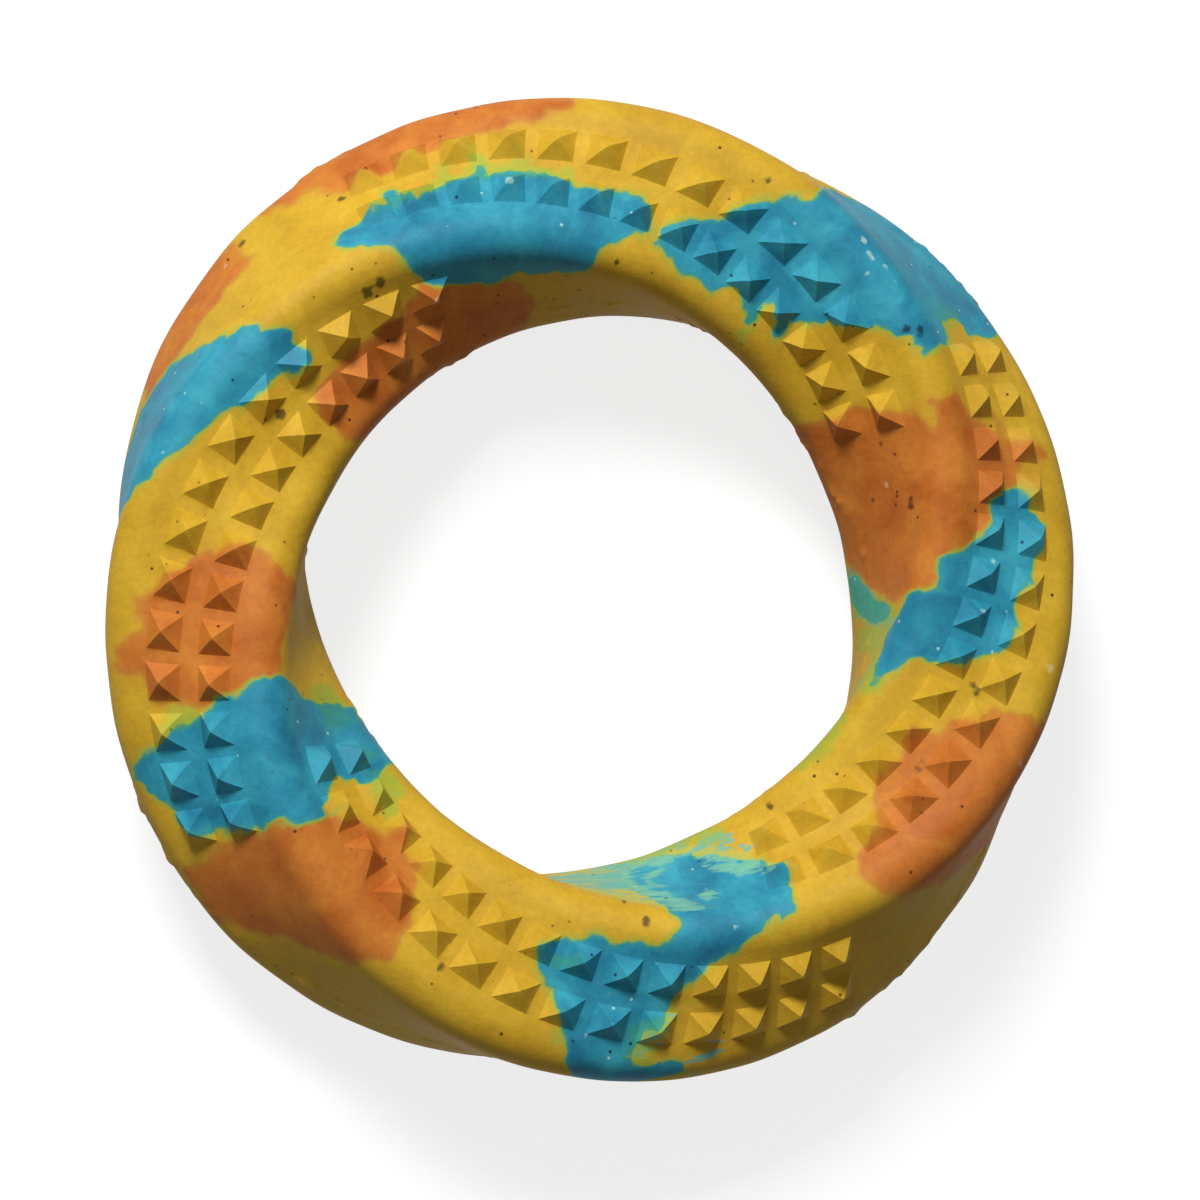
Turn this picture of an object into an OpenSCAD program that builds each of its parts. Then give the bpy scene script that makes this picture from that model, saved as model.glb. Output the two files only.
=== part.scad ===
// Twisted rubber chew ring.
// A rounded square bar is bent into a ring and turned once about itself on the way round.
// Small pyramid studs stand in two rows on each of its four faces, where a mould half can release them.
// The bar is yellow rubber. Turquoise and orange rubber blanks are pressed and cured into its skin.
// The ring lies flat: +Z is its axis, and the lowest ridges touch Z = 0.
// Ring angles run clockwise from +Y as seen from above. Section angles run from straight up
// towards the outside of the ring.

/* [Ring] */

// Diameter of the circle through the middle of the bar
ring_mean_d = 100; // [84:1:130]

// Width of the square bar from face to face
bar_w = 24.4; // [20:0.1:27]

// Rounding radius of the four ridges
ridge_r = 4.5; // [3:0.1:6]

// Ring angle at which the first face looks straight up
face_start = 12; // [0:1:89]

/* [Studs] */

// Side of a stud's square base
stud_base = 4.5; // [3.5:0.1:4.9]

// Height of a stud's tip above the face
stud_h = 2.25; // [1:0.05:2.6]

// Gap between the studs of a row
stud_gap = 1.42; // [1:0.01:1.5]

// Gap between the two rows on a face
row_gap = 2.4; // [1.8:0.1:3]

// Studs in one row of one band
studs_per_row = 14; // [8:1:14]

/* [Coloured blanks] */

// How deep the turquoise blanks reach below a face of the bar
blank_depth = 4.2; // [3.4:0.1:6]

// How much thinner the orange blanks are than the turquoise ones
orange_step = 0.5; // [0.4:0.1:1]

/* [Hidden] */

// Sections round the ring, a whole number to each eighth
ring_steps = 72;
// Flat strips across each face of the bar
flat_strips = 2;
// Facets round each ridge, an even number
ridge_facets = 4;
// Strips across a coloured blank
blank_strips = 3;
// Ring angle by which a blank's end bulges into a blunt nose
nose_angle = 0.4;
// Passes of the solver that spaces the studs evenly
solver_passes = 8;

faces = 4;
quarter = 360 / faces;
mean_r = ring_mean_d / 2;
half_w = bar_w / 2;
flat_half = half_w - ridge_r;
ridge_reach = flat_half / cos(quarter / 2) + ridge_r;
stud_root = stud_h / 2;
stud_spacing = stud_base + stud_gap;
row_spacing = stud_base + row_gap;
// Radius of the yellow core that runs on under the turquoise blanks
core_r = half_w - blank_depth;
// How far the cutting shapes for the blanks run past the stud tips
overrun = ridge_r;
cut_r = half_w + stud_h + overrun;

// Share by which a face's own path is longer at the outside of the ring than at the middle
path_share = half_w / mean_r;
spacing_angle = stud_spacing / mean_r * 180 / PI;
// The band holds one stud more before the middle of the face than after it
first_stud = -studs_per_row / 2;
last_stud = studs_per_row / 2 - 1;

// Each blank is a list of cross lines: [ring angle, lower section angle, upper section angle]
turquoise_top_angles = [
  [320.6, 17, 24], [322.5, 13, 30], [325, 5, 28], [326.7, -14, 27], [330, -29, 32],
  [333, -35, 24], [337.5, -40, 26], [341, -42, 25], [345, -41, 23], [349, -43, 19],
  [353, -44, 14], [356, -41, 7], [358.5, -27, 0], [362.5, -22, 5], [364.5, -21, 1],
  [366, -20, -6], [367.2, -19, -13],
];
turquoise_upper_right_angles = [
  [8.2, -23, -15], [10, -29, -10], [14, -36, -7], [17.5, -38, 0], [20, -40, 15], [23, -37, 18],
  [27.5, -42, 24], [29, -41, 44], [31, -33, 84], [34, -44, 98], [37.5, -35, 104], [40, -26, 107],
  [43, -16, 108], [46, -5, 104], [49, -2, 100], [52.5, 2, 97], [54.4, 12, 94], [55.6, 60, 90],
  [57.6, 66, 84],
];
turquoise_right_angles = [
  [75.8, 19, 31], [77.2, 9, 34], [79, 7, 35], [81.7, -2, 45], [83.2, -10, 38], [85, -24, 34],
  [88.2, -25, 29], [90, -27, 22], [91.2, -43, 20], [94, -49, 21], [97.5, -56, 16], [100, -60, 3],
  [101.8, -58, -8], [102.9, -57, -34], [106.8, -55, -49], [110, -56, -54],
];
turquoise_right_streak_angles = [
  [86, -113, -102], [88.5, -114, -96], [90.5, -114.5, -87], [92.3, -112, -72], [93.4, -108, -60],
  [95, -100, -61], [95.8, -94, -72],
];
turquoise_lower_right_angles = [
  [147.3, -36, -28], [149, -43, -18], [151, -54, -8], [154, -66, -7], [158, -78, -6],
  [162.5, -88, -9], [164, -92, -15], [166, -95, -22], [168, -96, -28], [171, -95, -42],
  [174, -92, -60],
];
turquoise_bottom_angles = [
  [162.4, -5, -2], [164, -11, 1], [166.8, -18, 4], [169, -19, 10], [171, -16, 19],
  [172.5, -14, 28], [175, -15, 33], [177.3, -16, 44], [178.5, -17, 70], [181.5, -19, 80],
  [184, -20, 58], [186, -21, 42], [187.4, -20.5, 20], [189, -17, 7], [190, -15, 3],
  [191.3, -10, -4],
];
turquoise_lower_left_angles = [
  [229.5, -76, -66], [230.8, -82, -8], [232.3, -86, 3], [234, -88, 8], [235.8, -90, 30],
  [238, -91, 51], [240, -89, 64], [243, -88, 68], [245.5, -80, 72], [247.5, -57, 76],
  [248.6, -48, 74], [250.2, -40, 56], [251.2, -34, 38], [252.6, -29, 14], [254.3, -22, -8],
];
turquoise_upper_left_angles = [
  [278, 56, 112], [280, 50, 120], [283, 40, 122], [286, 31, 118], [289, 25, 110], [292.5, 17, 100],
  [295, 8, 89], [297.5, 4, 78], [299, 1, 52], [301, -3, 39], [303, -8, 33], [305, -9, 24],
  [306.8, -5, 8],
];
turquoise_back_top_angles = [
  [338, 150, 168], [343, 141, 186], [349, 138, 202], [355, 141, 214], [361, 150, 219],
  [367.5, 166, 216], [372.5, 182, 205],
];
turquoise_back_right_angles = [
  [100, 196, 208], [105, 172, 214], [110, 152, 216], [116, 138, 212], [122.5, 134, 198],
  [127.5, 138, 178], [131, 146, 160],
];
turquoise_back_left_angles = [
  [256, 160, 172], [260, 148, 196], [265, 140, 216], [271, 144, 232], [277.5, 158, 238],
  [283, 178, 236], [287.5, 198, 222],
];

orange_top_angles = [
  [318.5, 86, 104], [322.5, 78, 112], [325, 64, 113], [328, 57, 108], [332.5, 55, 104],
  [337.5, 53, 100], [342.5, 52, 96], [347.5, 50, 90], [352.5, 51, 84], [356, 53, 76],
];
orange_upper_right_angles = [
  [51, -100, -80], [53, -103, -70], [55, -105, -48], [57.5, -107, -30], [59.4, -109, -16],
  [61, -111, 8], [64, -112, 15], [68, -114, 21], [69.5, -113, 38], [73, -112, 47], [76, -110, 28],
  [79.5, -109, 16], [82.5, -107, 4], [84.5, -104, -11], [87.6, -95, -17], [90, -83, -30],
  [91.6, -68, -46],
];
orange_lower_right_angles = [
  [106.5, 34, 60], [108, 9, 76], [111, -8, 86], [114, -24, 93], [117.5, -29, 98], [121, -28, 96],
  [124, -31, 76], [127.5, -29, 55], [130, -14, 42], [133, -13, 32], [136, -11, 21],
  [138.6, -4, 12],
];
orange_lower_left_angles = [
  [210.5, 3, 19], [212.5, -18, 30], [214, -30, 37], [217.5, -34, 49], [220, -36, 58],
  [223, -33, 67], [225.5, -29, 78], [228, -22, 87], [231, -14, 89], [233.5, -8, 86],
  [235.3, 11, 82],
];
orange_left_angles = [
  [252.2, 8, 20], [253.6, -22, 34], [256, -27, 49], [258, -29, 53], [260, -32, 67],
  [262.5, -35, 57], [264.5, -39, 46], [267.5, -42, 43], [269, -43, 38], [271, -38, 27],
  [273, -30, 17], [275, -20, 5],
];
orange_upper_left_angles = [
  [293, 96, 118], [296, 82, 122], [299, 74, 123], [302.5, 71, 118], [306, 70, 112],
  [310, 68, 104], [313, 69.5, 94],
];
orange_inner_top_angles = [
  [298.6, -50, -38], [300.5, -72, -28], [304, -88, -24], [310, -98, -27], [316, -104, -31],
  [322.5, -108, -30], [327.5, -110, -19], [331, -112, -30], [336, -113, -32], [340.5, -110, -34],
  [345, -104, -56], [347.5, -94, -74],
];
orange_back_bottom_angles = [
  [176, 150, 166], [181, 138, 188], [187.5, 131, 206], [194, 132, 216], [201, 142, 218],
  [207.5, 160, 210], [211, 178, 196],
];
orange_back_upper_right_angles = [
  [30, 168, 182], [35, 150, 204], [41, 138, 222], [48, 134, 232], [55, 146, 234],
  [61, 168, 226], [65, 188, 212],
];
orange_back_lower_right_angles = [
  [144, 206, 222], [149, 186, 236], [155, 172, 242], [161, 170, 234], [166, 180, 216],
];
orange_back_upper_left_angles = [
  [298, 176, 192], [303, 158, 212], [309, 148, 224], [315, 150, 228], [321, 164, 222],
  [325, 182, 208],
];

turquoise_tables = [
  turquoise_top_angles,
  turquoise_upper_right_angles,
  turquoise_right_angles,
  turquoise_right_streak_angles,
  turquoise_lower_right_angles,
  turquoise_bottom_angles,
  turquoise_lower_left_angles,
  turquoise_upper_left_angles,
  turquoise_back_top_angles,
  turquoise_back_right_angles,
  turquoise_back_left_angles,
];
orange_tables = [
  orange_top_angles,
  orange_upper_right_angles,
  orange_lower_right_angles,
  orange_lower_left_angles,
  orange_left_angles,
  orange_upper_left_angles,
  orange_inner_top_angles,
  orange_back_bottom_angles,
  orange_back_upper_right_angles,
  orange_back_lower_right_angles,
  orange_back_upper_left_angles,
];

yellow_colour = "#D9B23C";
turquoise_colour = "#2F93AE";
orange_colour = "#C46F2E";

// A point of the bar: ring angle, then distances across the section along and up from its middle
function outward(phi) = [sin(phi), cos(phi), 0];
function in_section(phi, out, up) = (mean_r + out) * outward(phi) + [0, 0, ridge_reach + up];

// The same point named by section angle and distance from the middle of the bar
function by_angle(phi, alpha, r) = in_section(phi, r * sin(alpha), r * cos(alpha));

// The same point named from a face whose normal stands at section angle theta
function on_face(phi, theta, away, across) = in_section(
  phi,
  away * sin(theta) + across * cos(theta),
  away * cos(theta) - across * sin(theta)
);

// Outline of the bar's section, from the first face round all four ridges
section_outline = [
  for (f = [0:faces - 1])
    for (p = concat(
      [for (k = [0:flat_strips - 1]) [half_w, -flat_half + 2 * flat_half * k / flat_strips]],
      [for (k = [0:ridge_facets - 1])
        let (a = quarter * k / ridge_facets)
        [flat_half + ridge_r * cos(a), flat_half + ridge_r * sin(a)]]
    ))
      let (a = quarter * f)
      [p[0] * cos(a) - p[1] * sin(a), p[0] * sin(a) + p[1] * cos(a)]
];

// The smooth twisted ring. The section turns back by one full turn on its way round.
module smooth_ring() {
  n = len(section_outline);
  points = [
    for (i = [0:ring_steps - 1])
      let (turn = 360 * i / ring_steps)
      for (p = section_outline)
        on_face(face_start + turn, -turn, p[0], p[1])
  ];
  quads = [
    for (i = [0:ring_steps - 1])
      for (k = [0:n - 1])
        let (
          i2 = (i + 1) % ring_steps,
          k2 = (k + 1) % n
        )
        for (t = [
          [i * n + k, i * n + k2, i2 * n + k2],
          [i * n + k, i2 * n + k2, i2 * n + k]
        ])
          t
  ];
  polyhedron(points = points, faces = quads, convexity = 10);
}

// Ring angle at which a face has covered a given even distance along its own path.
// The angle is measured from where the face looks straight up, or straight down with side = -1.
function path_angle(way, side, guess, pass = 0) =
  pass == solver_passes
    ? guess
    : path_angle(
        way,
        side,
        guess
          - (guess + side * path_share * 180 / PI * (cos(guess) - 1) - way)
          / (1 - side * path_share * sin(guess)),
        pass + 1
      );

// A point on the face of one band: way along the path, distance across the face, height above it
function in_band(face, side, way, across, height) =
  let (
    // Rows lie square to the face's own path, so a point off the middle is moved along it too
    slid = way + side * path_share * across / mean_r * 180 / PI,
    turn = path_angle(slid, side, slid),
    up_angle = side > 0 ? 0 : 180
  )
  on_face(
    face_start + quarter * face + up_angle + turn,
    up_angle - turn,
    half_w + height,
    side * across
  );

// One pyramid stud, sunk into the face by its root
module stud(face, side, way, across) {
  half_angle = stud_base / 2 / mean_r * 180 / PI;
  half_base = stud_base / 2;
  corners = [[-1, -1], [1, -1], [1, 1], [-1, 1]];
  foot = [
    for (c = corners)
      in_band(face, side, way + c[0] * half_angle, across + c[1] * half_base, 0)
  ];
  root = [
    for (c = corners)
      in_band(face, side, way + c[0] * half_angle, across + c[1] * half_base, -stud_root)
  ];
  tip = in_band(face, side, way, across, stud_h);
  hull() polyhedron(
    points = concat(root, foot, [tip]),
    faces = [
      [0, 1, 2, 3],
      [0, 4, 5, 1],
      [1, 5, 6, 2],
      [2, 6, 7, 3],
      [3, 7, 4, 0],
      [4, 8, 5],
      [5, 8, 6],
      [6, 8, 7],
      [7, 8, 4],
    ]
  );
}

// Two rows of studs on one face, above or below
module stud_band(face, side) {
  for (k = [first_stud:last_stud])
    for (row = [-1, 1])
      stud(face, side, side * k * spacing_angle, row * row_spacing / 2);
}

// The whole ring in one piece, before the blanks are told apart
module whole_ring() {
  smooth_ring();
  for (f = [0:faces - 1]) {
    stud_band(f, 1);
    stud_band(f, -1);
  }
}

// The room of one coloured blank: from the core out past the stud tips, with blunt noses at its ends
module blank_room(lines, floor_r = core_r) {
  n = blank_strips;
  loop = 2 * (n + 1);
  rings = len(lines);
  first = lines[0];
  last = lines[rings - 1];
  middle_r = (floor_r + cut_r) / 2;
  noses = [
    by_angle(first[0] - nose_angle, (first[1] + first[2]) / 2, middle_r),
    by_angle(last[0] + nose_angle, (last[1] + last[2]) / 2, middle_r),
  ];
  walls = [
    for (line = lines)
      for (k = [0:loop - 1])
        let (
          outer = k <= n,
          share = outer ? k / n : (loop - 1 - k) / n
        )
        by_angle(line[0], line[1] + (line[2] - line[1]) * share, outer ? cut_r : floor_r)
  ];
  sides = [
    for (i = [0:rings - 2])
      for (k = [0:loop - 1])
        let (k2 = (k + 1) % loop)
        for (t = [
          [i * loop + k, i * loop + k2, (i + 1) * loop + k2],
          [i * loop + k, (i + 1) * loop + k2, (i + 1) * loop + k]
        ])
          t
  ];
  ends = [
    for (k = [0:loop - 1])
      let (k2 = (k + 1) % loop)
      for (t = [
        [k2, k, rings * loop],
        [(rings - 1) * loop + k, (rings - 1) * loop + k2, rings * loop + 1]
      ])
        t
  ];
  polyhedron(points = concat(walls, noses), faces = concat(sides, ends), convexity = 6);
}

module turquoise_rooms() {
  for (lines = turquoise_tables) blank_room(lines);
}

module orange_rooms() {
  for (lines = orange_tables) blank_room(lines, core_r + orange_step);
}

module turquoise_blank(lines) {
  color(turquoise_colour)
    intersection() {
      whole_ring();
      blank_room(lines);
    }
}

// Turquoise lies over orange where the two meet
module orange_blank(lines) {
  color(orange_colour)
    difference() {
      intersection() {
        whole_ring();
        blank_room(lines, core_r + orange_step);
      }
      turquoise_rooms();
    }
}

module yellow_body() {
  color(yellow_colour)
    difference() {
      whole_ring();
      turquoise_rooms();
      orange_rooms();
    }
}

module turquoise_top() { turquoise_blank(turquoise_top_angles); }
module turquoise_upper_right() { turquoise_blank(turquoise_upper_right_angles); }
module turquoise_right() { turquoise_blank(turquoise_right_angles); }
module turquoise_right_streak() { turquoise_blank(turquoise_right_streak_angles); }
module turquoise_lower_right() { turquoise_blank(turquoise_lower_right_angles); }
module turquoise_bottom() { turquoise_blank(turquoise_bottom_angles); }
module turquoise_lower_left() { turquoise_blank(turquoise_lower_left_angles); }
module turquoise_upper_left() { turquoise_blank(turquoise_upper_left_angles); }
module turquoise_back_top() { turquoise_blank(turquoise_back_top_angles); }
module turquoise_back_right() { turquoise_blank(turquoise_back_right_angles); }
module turquoise_back_left() { turquoise_blank(turquoise_back_left_angles); }
module orange_top() { orange_blank(orange_top_angles); }
module orange_upper_right() { orange_blank(orange_upper_right_angles); }
module orange_lower_right() { orange_blank(orange_lower_right_angles); }
module orange_lower_left() { orange_blank(orange_lower_left_angles); }
module orange_left() { orange_blank(orange_left_angles); }
module orange_upper_left() { orange_blank(orange_upper_left_angles); }
module orange_inner_top() { orange_blank(orange_inner_top_angles); }
module orange_back_bottom() { orange_blank(orange_back_bottom_angles); }
module orange_back_upper_right() { orange_blank(orange_back_upper_right_angles); }
module orange_back_lower_right() { orange_blank(orange_back_lower_right_angles); }
module orange_back_upper_left() { orange_blank(orange_back_upper_left_angles); }

yellow_body();
turquoise_top();
turquoise_upper_right();
turquoise_right();
turquoise_right_streak();
turquoise_lower_right();
turquoise_bottom();
turquoise_lower_left();
turquoise_upper_left();
turquoise_back_top();
turquoise_back_right();
turquoise_back_left();
orange_top();
orange_upper_right();
orange_lower_right();
orange_lower_left();
orange_left();
orange_upper_left();
orange_inner_top();
orange_back_bottom();
orange_back_upper_right();
orange_back_lower_right();
orange_back_upper_left();
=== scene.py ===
import math

import bpy
import numpy as np
from mathutils import Matrix, Vector


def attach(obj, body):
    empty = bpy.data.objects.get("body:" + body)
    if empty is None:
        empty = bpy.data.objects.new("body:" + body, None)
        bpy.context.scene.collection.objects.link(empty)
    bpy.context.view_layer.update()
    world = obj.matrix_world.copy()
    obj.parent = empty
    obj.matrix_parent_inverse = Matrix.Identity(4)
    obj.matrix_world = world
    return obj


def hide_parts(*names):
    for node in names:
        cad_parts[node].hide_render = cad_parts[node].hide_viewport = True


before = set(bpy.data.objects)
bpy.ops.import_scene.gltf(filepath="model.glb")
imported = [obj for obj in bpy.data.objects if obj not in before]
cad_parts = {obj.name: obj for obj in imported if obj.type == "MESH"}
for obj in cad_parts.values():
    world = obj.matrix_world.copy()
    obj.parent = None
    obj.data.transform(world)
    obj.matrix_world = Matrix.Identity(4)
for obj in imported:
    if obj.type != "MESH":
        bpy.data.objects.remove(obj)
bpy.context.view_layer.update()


# The camera
# A long lens looks down on the ring as it lies flat, tipped twelve degrees off the ring's axis.
# It aims a millimetre or two beside the middle of the ring, half way up the bar. All sizes are
# in millimetres until a mesh or an object is made.
MM = 0.001
RING_R = 50.0
BAR_HALF = 12.2
RIDGE_R = 4.5
FLAT_HALF = BAR_HALF - RIDGE_R
BAR_MIDDLE = FLAT_HALF * math.sqrt(2) + RIDGE_R

TIP_UP, TIP_SIDE = math.radians(-3.58), math.radians(11.03)
CAMERA_AWAY = 600.0
CAMERA_ASIDE = (1.15, -1.3)
PICTURE_WIDTH = 1200
FOCAL_LENGTH_IN_PIXELS = 4593
SENSOR_WIDTH = 36.0
CLIP_NEAR, CLIP_FAR = 0.01, 20.0

turn_up = Matrix.Rotation(TIP_UP, 3, "X")
turn_side = Matrix.Rotation(TIP_SIDE, 3, "Y")
view_turn = (turn_up @ turn_side).transposed()
camera_place = view_turn @ Vector((*CAMERA_ASIDE, CAMERA_AWAY))
camera_data = bpy.data.cameras.new("camera")
camera_data.lens = SENSOR_WIDTH * FOCAL_LENGTH_IN_PIXELS / PICTURE_WIDTH
camera_data.sensor_width = SENSOR_WIDTH
camera_data.sensor_fit = "HORIZONTAL"
camera_data.clip_start, camera_data.clip_end = CLIP_NEAR, CLIP_FAR
camera = bpy.data.objects.new("camera", camera_data)
camera.matrix_world = (
    Matrix.Translation((camera_place + Vector((0, 0, BAR_MIDDLE))) * MM)
    @ view_turn.to_4x4()
)
bpy.context.scene.collection.objects.link(camera)
bpy.context.scene.camera = camera
bpy.context.scene.view_settings.view_transform = "Standard"


# The skin that the mould gives the rubber
# A rounded square bar bent into a ring and turned once about itself. Two rows of pyramid studs
# stand on each face where a mould half can pull straight off them. The mould is machined steel,
# so the studs are crisp, with blunt tips and small fillets at their feet.
FACES = 4
FACE_START = math.radians(12)
STUD_HALF, STUD_H = 2.25, 2.25
STUD_GAP, ROW_GAP = 1.42, 2.4
STUD_PITCH = (2 * STUD_HALF + STUD_GAP) / RING_R
ROW_HALF = STUD_HALF + ROW_GAP / 2
STUD_COUNT_BEFORE, STUD_COUNT_AFTER = 7, 6
TIP_R, FILLET = 0.2, 0.1
# Share by which a face's own path is longer at the outside of the ring than at the middle
PATH_SHARE = BAR_HALF / RING_R
BAND_MIDDLES = (PATH_SHARE, math.pi - PATH_SHARE)
SOLVER_PASSES = 20
SMOOTH_STEP = 0.55
RIDGE_CELLS = 8
RIDGE_ROWS = 600
# Lines across one stud, from its middle outwards, so that its hips run along the cells
STUD_LINES = np.array([0, 0.35, 1.0, 1.65, 2.05, 2.25])
# Lines across a face between its two rows and beside them
BETWEEN_ROWS, BESIDE_ROWS = 0.4, 6.6
stud_offsets = np.concatenate([-STUD_LINES[:0:-1], STUD_LINES])


def on_face(ring_angle, section_angle, away, across):
    out = away * np.sin(section_angle) + across * np.cos(section_angle)
    up = away * np.cos(section_angle) - across * np.sin(section_angle)
    return np.stack([
        (RING_R + out) * np.sin(ring_angle),
        (RING_R + out) * np.cos(ring_angle),
        BAR_MIDDLE + up,
    ], -1)


def turn_after(way):
    """The angle that a face has turned after a given even distance along its path."""
    turn = way.copy()
    for _ in range(SOLVER_PASSES):
        turn -= (turn + PATH_SHARE * np.cos(turn) - way) / (1 - PATH_SHARE * np.sin(turn))
    return turn


def stud_heights(way, across):
    """Height of the skin above the bare face, the same for both bands and both rows."""
    height = np.zeros_like(way)
    for side, middle in zip((1, -1), BAND_MIDDLES):
        from_middle = side * ((way - middle + math.pi) % (2 * math.pi) - math.pi)
        nearest = np.clip(np.round(from_middle / STUD_PITCH), -STUD_COUNT_BEFORE, STUD_COUNT_AFTER)
        along = (from_middle - nearest * STUD_PITCH) * RING_R
        aside = np.abs(across) - ROW_HALF
        reach = np.maximum(np.abs(along), np.abs(aside))
        flank = STUD_H * (1 - np.sqrt(reach ** 2 + TIP_R ** 2) / STUD_HALF)
        height = np.maximum(height, (flank + np.sqrt(flank ** 2 + FILLET ** 2)) / 2)
    return height


def lines_between(start, end, step):
    count = max(2, round((end - start) / step))
    return np.linspace(start, end, count + 1)[1:-1]


# Lines along a face: those of the studs in the two bands, then even ones up to the next band
band_starts = []
for side, middle in zip((1, -1), BAND_MIDDLES):
    numbers = np.arange(-STUD_COUNT_BEFORE, STUD_COUNT_AFTER + 1) * side
    studs = np.sort(middle + numbers * STUD_PITCH)
    band = np.concatenate([s + stud_offsets / RING_R for s in studs])
    gaps = (studs[1:] + studs[:-1]) / 2
    band_starts.append(np.sort(np.concatenate([band, gaps])))
front_band, back_band = band_starts
way_lines = np.concatenate([
    front_band,
    lines_between(front_band[-1], back_band[0], SMOOTH_STEP / RING_R),
    back_band,
    lines_between(back_band[-1], front_band[0] + 2 * math.pi, SMOOTH_STEP / RING_R),
])
row_lines = ROW_HALF + stud_offsets
half_lines = np.concatenate([[BETWEEN_ROWS], row_lines, [BESIDE_ROWS, FLAT_HALF]])
across_lines = np.concatenate([-half_lines[::-1], half_lines])

skin_points, skin_triangles = [], []


def add_grid(points, slant):
    """Adds a closed strip of points, rows along it and columns across. Each cell is split along
    the diagonal from its first corner where slant is true. Returns the point numbers."""
    rows, columns = points.shape[:2]
    first = sum(len(p) for p in skin_points)
    numbers = first + np.arange(rows * columns).reshape(rows, columns)
    skin_points.append(points.reshape(-1, 3))
    a, b = numbers[:, :-1], np.roll(numbers, -1, 0)[:, :-1]
    c, d = np.roll(numbers, -1, 0)[:, 1:], numbers[:, 1:]
    for pick, corners in ((slant, ((a, b, c), (a, c, d))), (~slant, ((a, b, d), (b, c, d)))):
        for triangle in corners:
            skin_triangles.append(np.stack([corner[pick] for corner in triangle], -1))
    return numbers


def zip_strips(low, low_angles, high, high_angles):
    """Joins two closed lines of points with triangles, in the order of their ring angles."""
    low_order = np.argsort(low_angles % (2 * math.pi))
    high_order = np.argsort(high_angles % (2 * math.pi))
    low, high = low[low_order], high[high_order]
    low_turns = (low_angles % (2 * math.pi))[low_order]
    high_turns = (high_angles % (2 * math.pi))[high_order]
    low_turns = np.append(low_turns, low_turns[0] + 2 * math.pi)
    high_turns = np.append(high_turns, high_turns[0] + 2 * math.pi)
    i = j = 0
    found = []
    while i < len(low) or j < len(high):
        step_low = j == len(high) or (i < len(low) and low_turns[i + 1] < high_turns[j + 1])
        here, there = low[i % len(low)], high[j % len(high)]
        if step_low:
            i += 1
            found.append((here, low[i % len(low)], there))
        else:
            j += 1
            found.append((here, high[j % len(high)], there))
    skin_triangles.append(np.array(found))


face_numbers, face_angles = [], []
way_grid, across_grid = np.meshgrid(way_lines, across_lines, indexing="ij")
turn_grid = turn_after(way_grid + PATH_SHARE * across_grid / RING_R)
height_grid = stud_heights(way_grid, across_grid)
next_way = np.roll(way_lines, -1)
next_way[-1] += 2 * math.pi
cell_way = np.repeat(((way_lines + next_way) / 2)[:, None], len(across_lines) - 1, 1)
cell_across = np.repeat(((across_lines[:-1] + across_lines[1:]) / 2)[None], len(way_lines), 0)
to_front = (cell_way - BAND_MIDDLES[0] + math.pi) % (2 * math.pi) - math.pi
to_back = (cell_way - BAND_MIDDLES[1] + math.pi) % (2 * math.pi) - math.pi
to_band = np.where(np.abs(to_front) < np.abs(to_back), to_front, to_back)
cell_along = to_band - np.round(to_band / STUD_PITCH) * STUD_PITCH
cell_slant = cell_along * (np.abs(cell_across) - ROW_HALF) * np.sign(cell_across) > 0
for face in range(FACES):
    ring_grid = FACE_START + face * math.pi / 2 + turn_grid
    points = on_face(ring_grid, -turn_grid, BAR_HALF + height_grid, across_grid)
    face_numbers.append(add_grid(points, cell_slant))
    face_angles.append(ring_grid)

ridge_angles = np.arange(RIDGE_ROWS) * 2 * math.pi / RIDGE_ROWS
ridge_bends = np.arange(1, RIDGE_CELLS) * math.pi / 2 / RIDGE_CELLS
ring_grid, bend_grid = np.meshgrid(ridge_angles, ridge_bends, indexing="ij")
for face in range(FACES):
    section_grid = FACE_START + face * math.pi / 2 - ring_grid
    points = on_face(
        ring_grid,
        section_grid,
        FLAT_HALF + RIDGE_R * np.cos(bend_grid),
        FLAT_HALF + RIDGE_R * np.sin(bend_grid),
    )
    numbers = add_grid(points, np.ones((RIDGE_ROWS, len(ridge_bends) - 1), bool))
    following = (face + 1) % FACES
    zip_strips(face_numbers[face][:, -1], face_angles[face][:, -1], numbers[:, 0], ridge_angles)
    zip_strips(
        numbers[:, -1], ridge_angles, face_numbers[following][:, 0], face_angles[following][:, 0]
    )

points = np.concatenate(skin_points)
triangles = np.concatenate(skin_triangles)


def bar_angles(places):
    """Ring angle and section angle of places, in degrees."""
    ring = np.degrees(np.arctan2(places[:, 0], places[:, 1]))
    out = np.hypot(places[:, 0], places[:, 1]) - RING_R
    section = np.degrees(np.arctan2(out, places[:, 2] - BAR_MIDDLE))
    return ring, section


WAVE_COUNT = 14
SHORTEST, LONGEST = 0.7, 1.4


def ripple(places, size):
    """Even random waves of about one size in millimetres, with a spread of one."""
    ways = chance.normal(size=(WAVE_COUNT, 3))
    stretch = chance.uniform(SHORTEST, LONGEST, WAVE_COUNT)
    ways *= (stretch / np.linalg.norm(ways, axis=1))[:, None]
    phases = chance.uniform(0, 2 * math.pi, WAVE_COUNT)
    waves = np.cos(places @ ways.T * 2 * math.pi / size + phases)
    return waves.sum(1) / math.sqrt(WAVE_COUNT / 2)


# The rubber shrinks a little unevenly as it cools, and a thread of flash is left where the two
# mould halves met, round the outside and round the inside of the ring
SHRINK_WAVE, SHRINK_DEPTH = 14.0, 0.06
FLASH_HALF, FLASH_H = 0.55, 0.2
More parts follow.
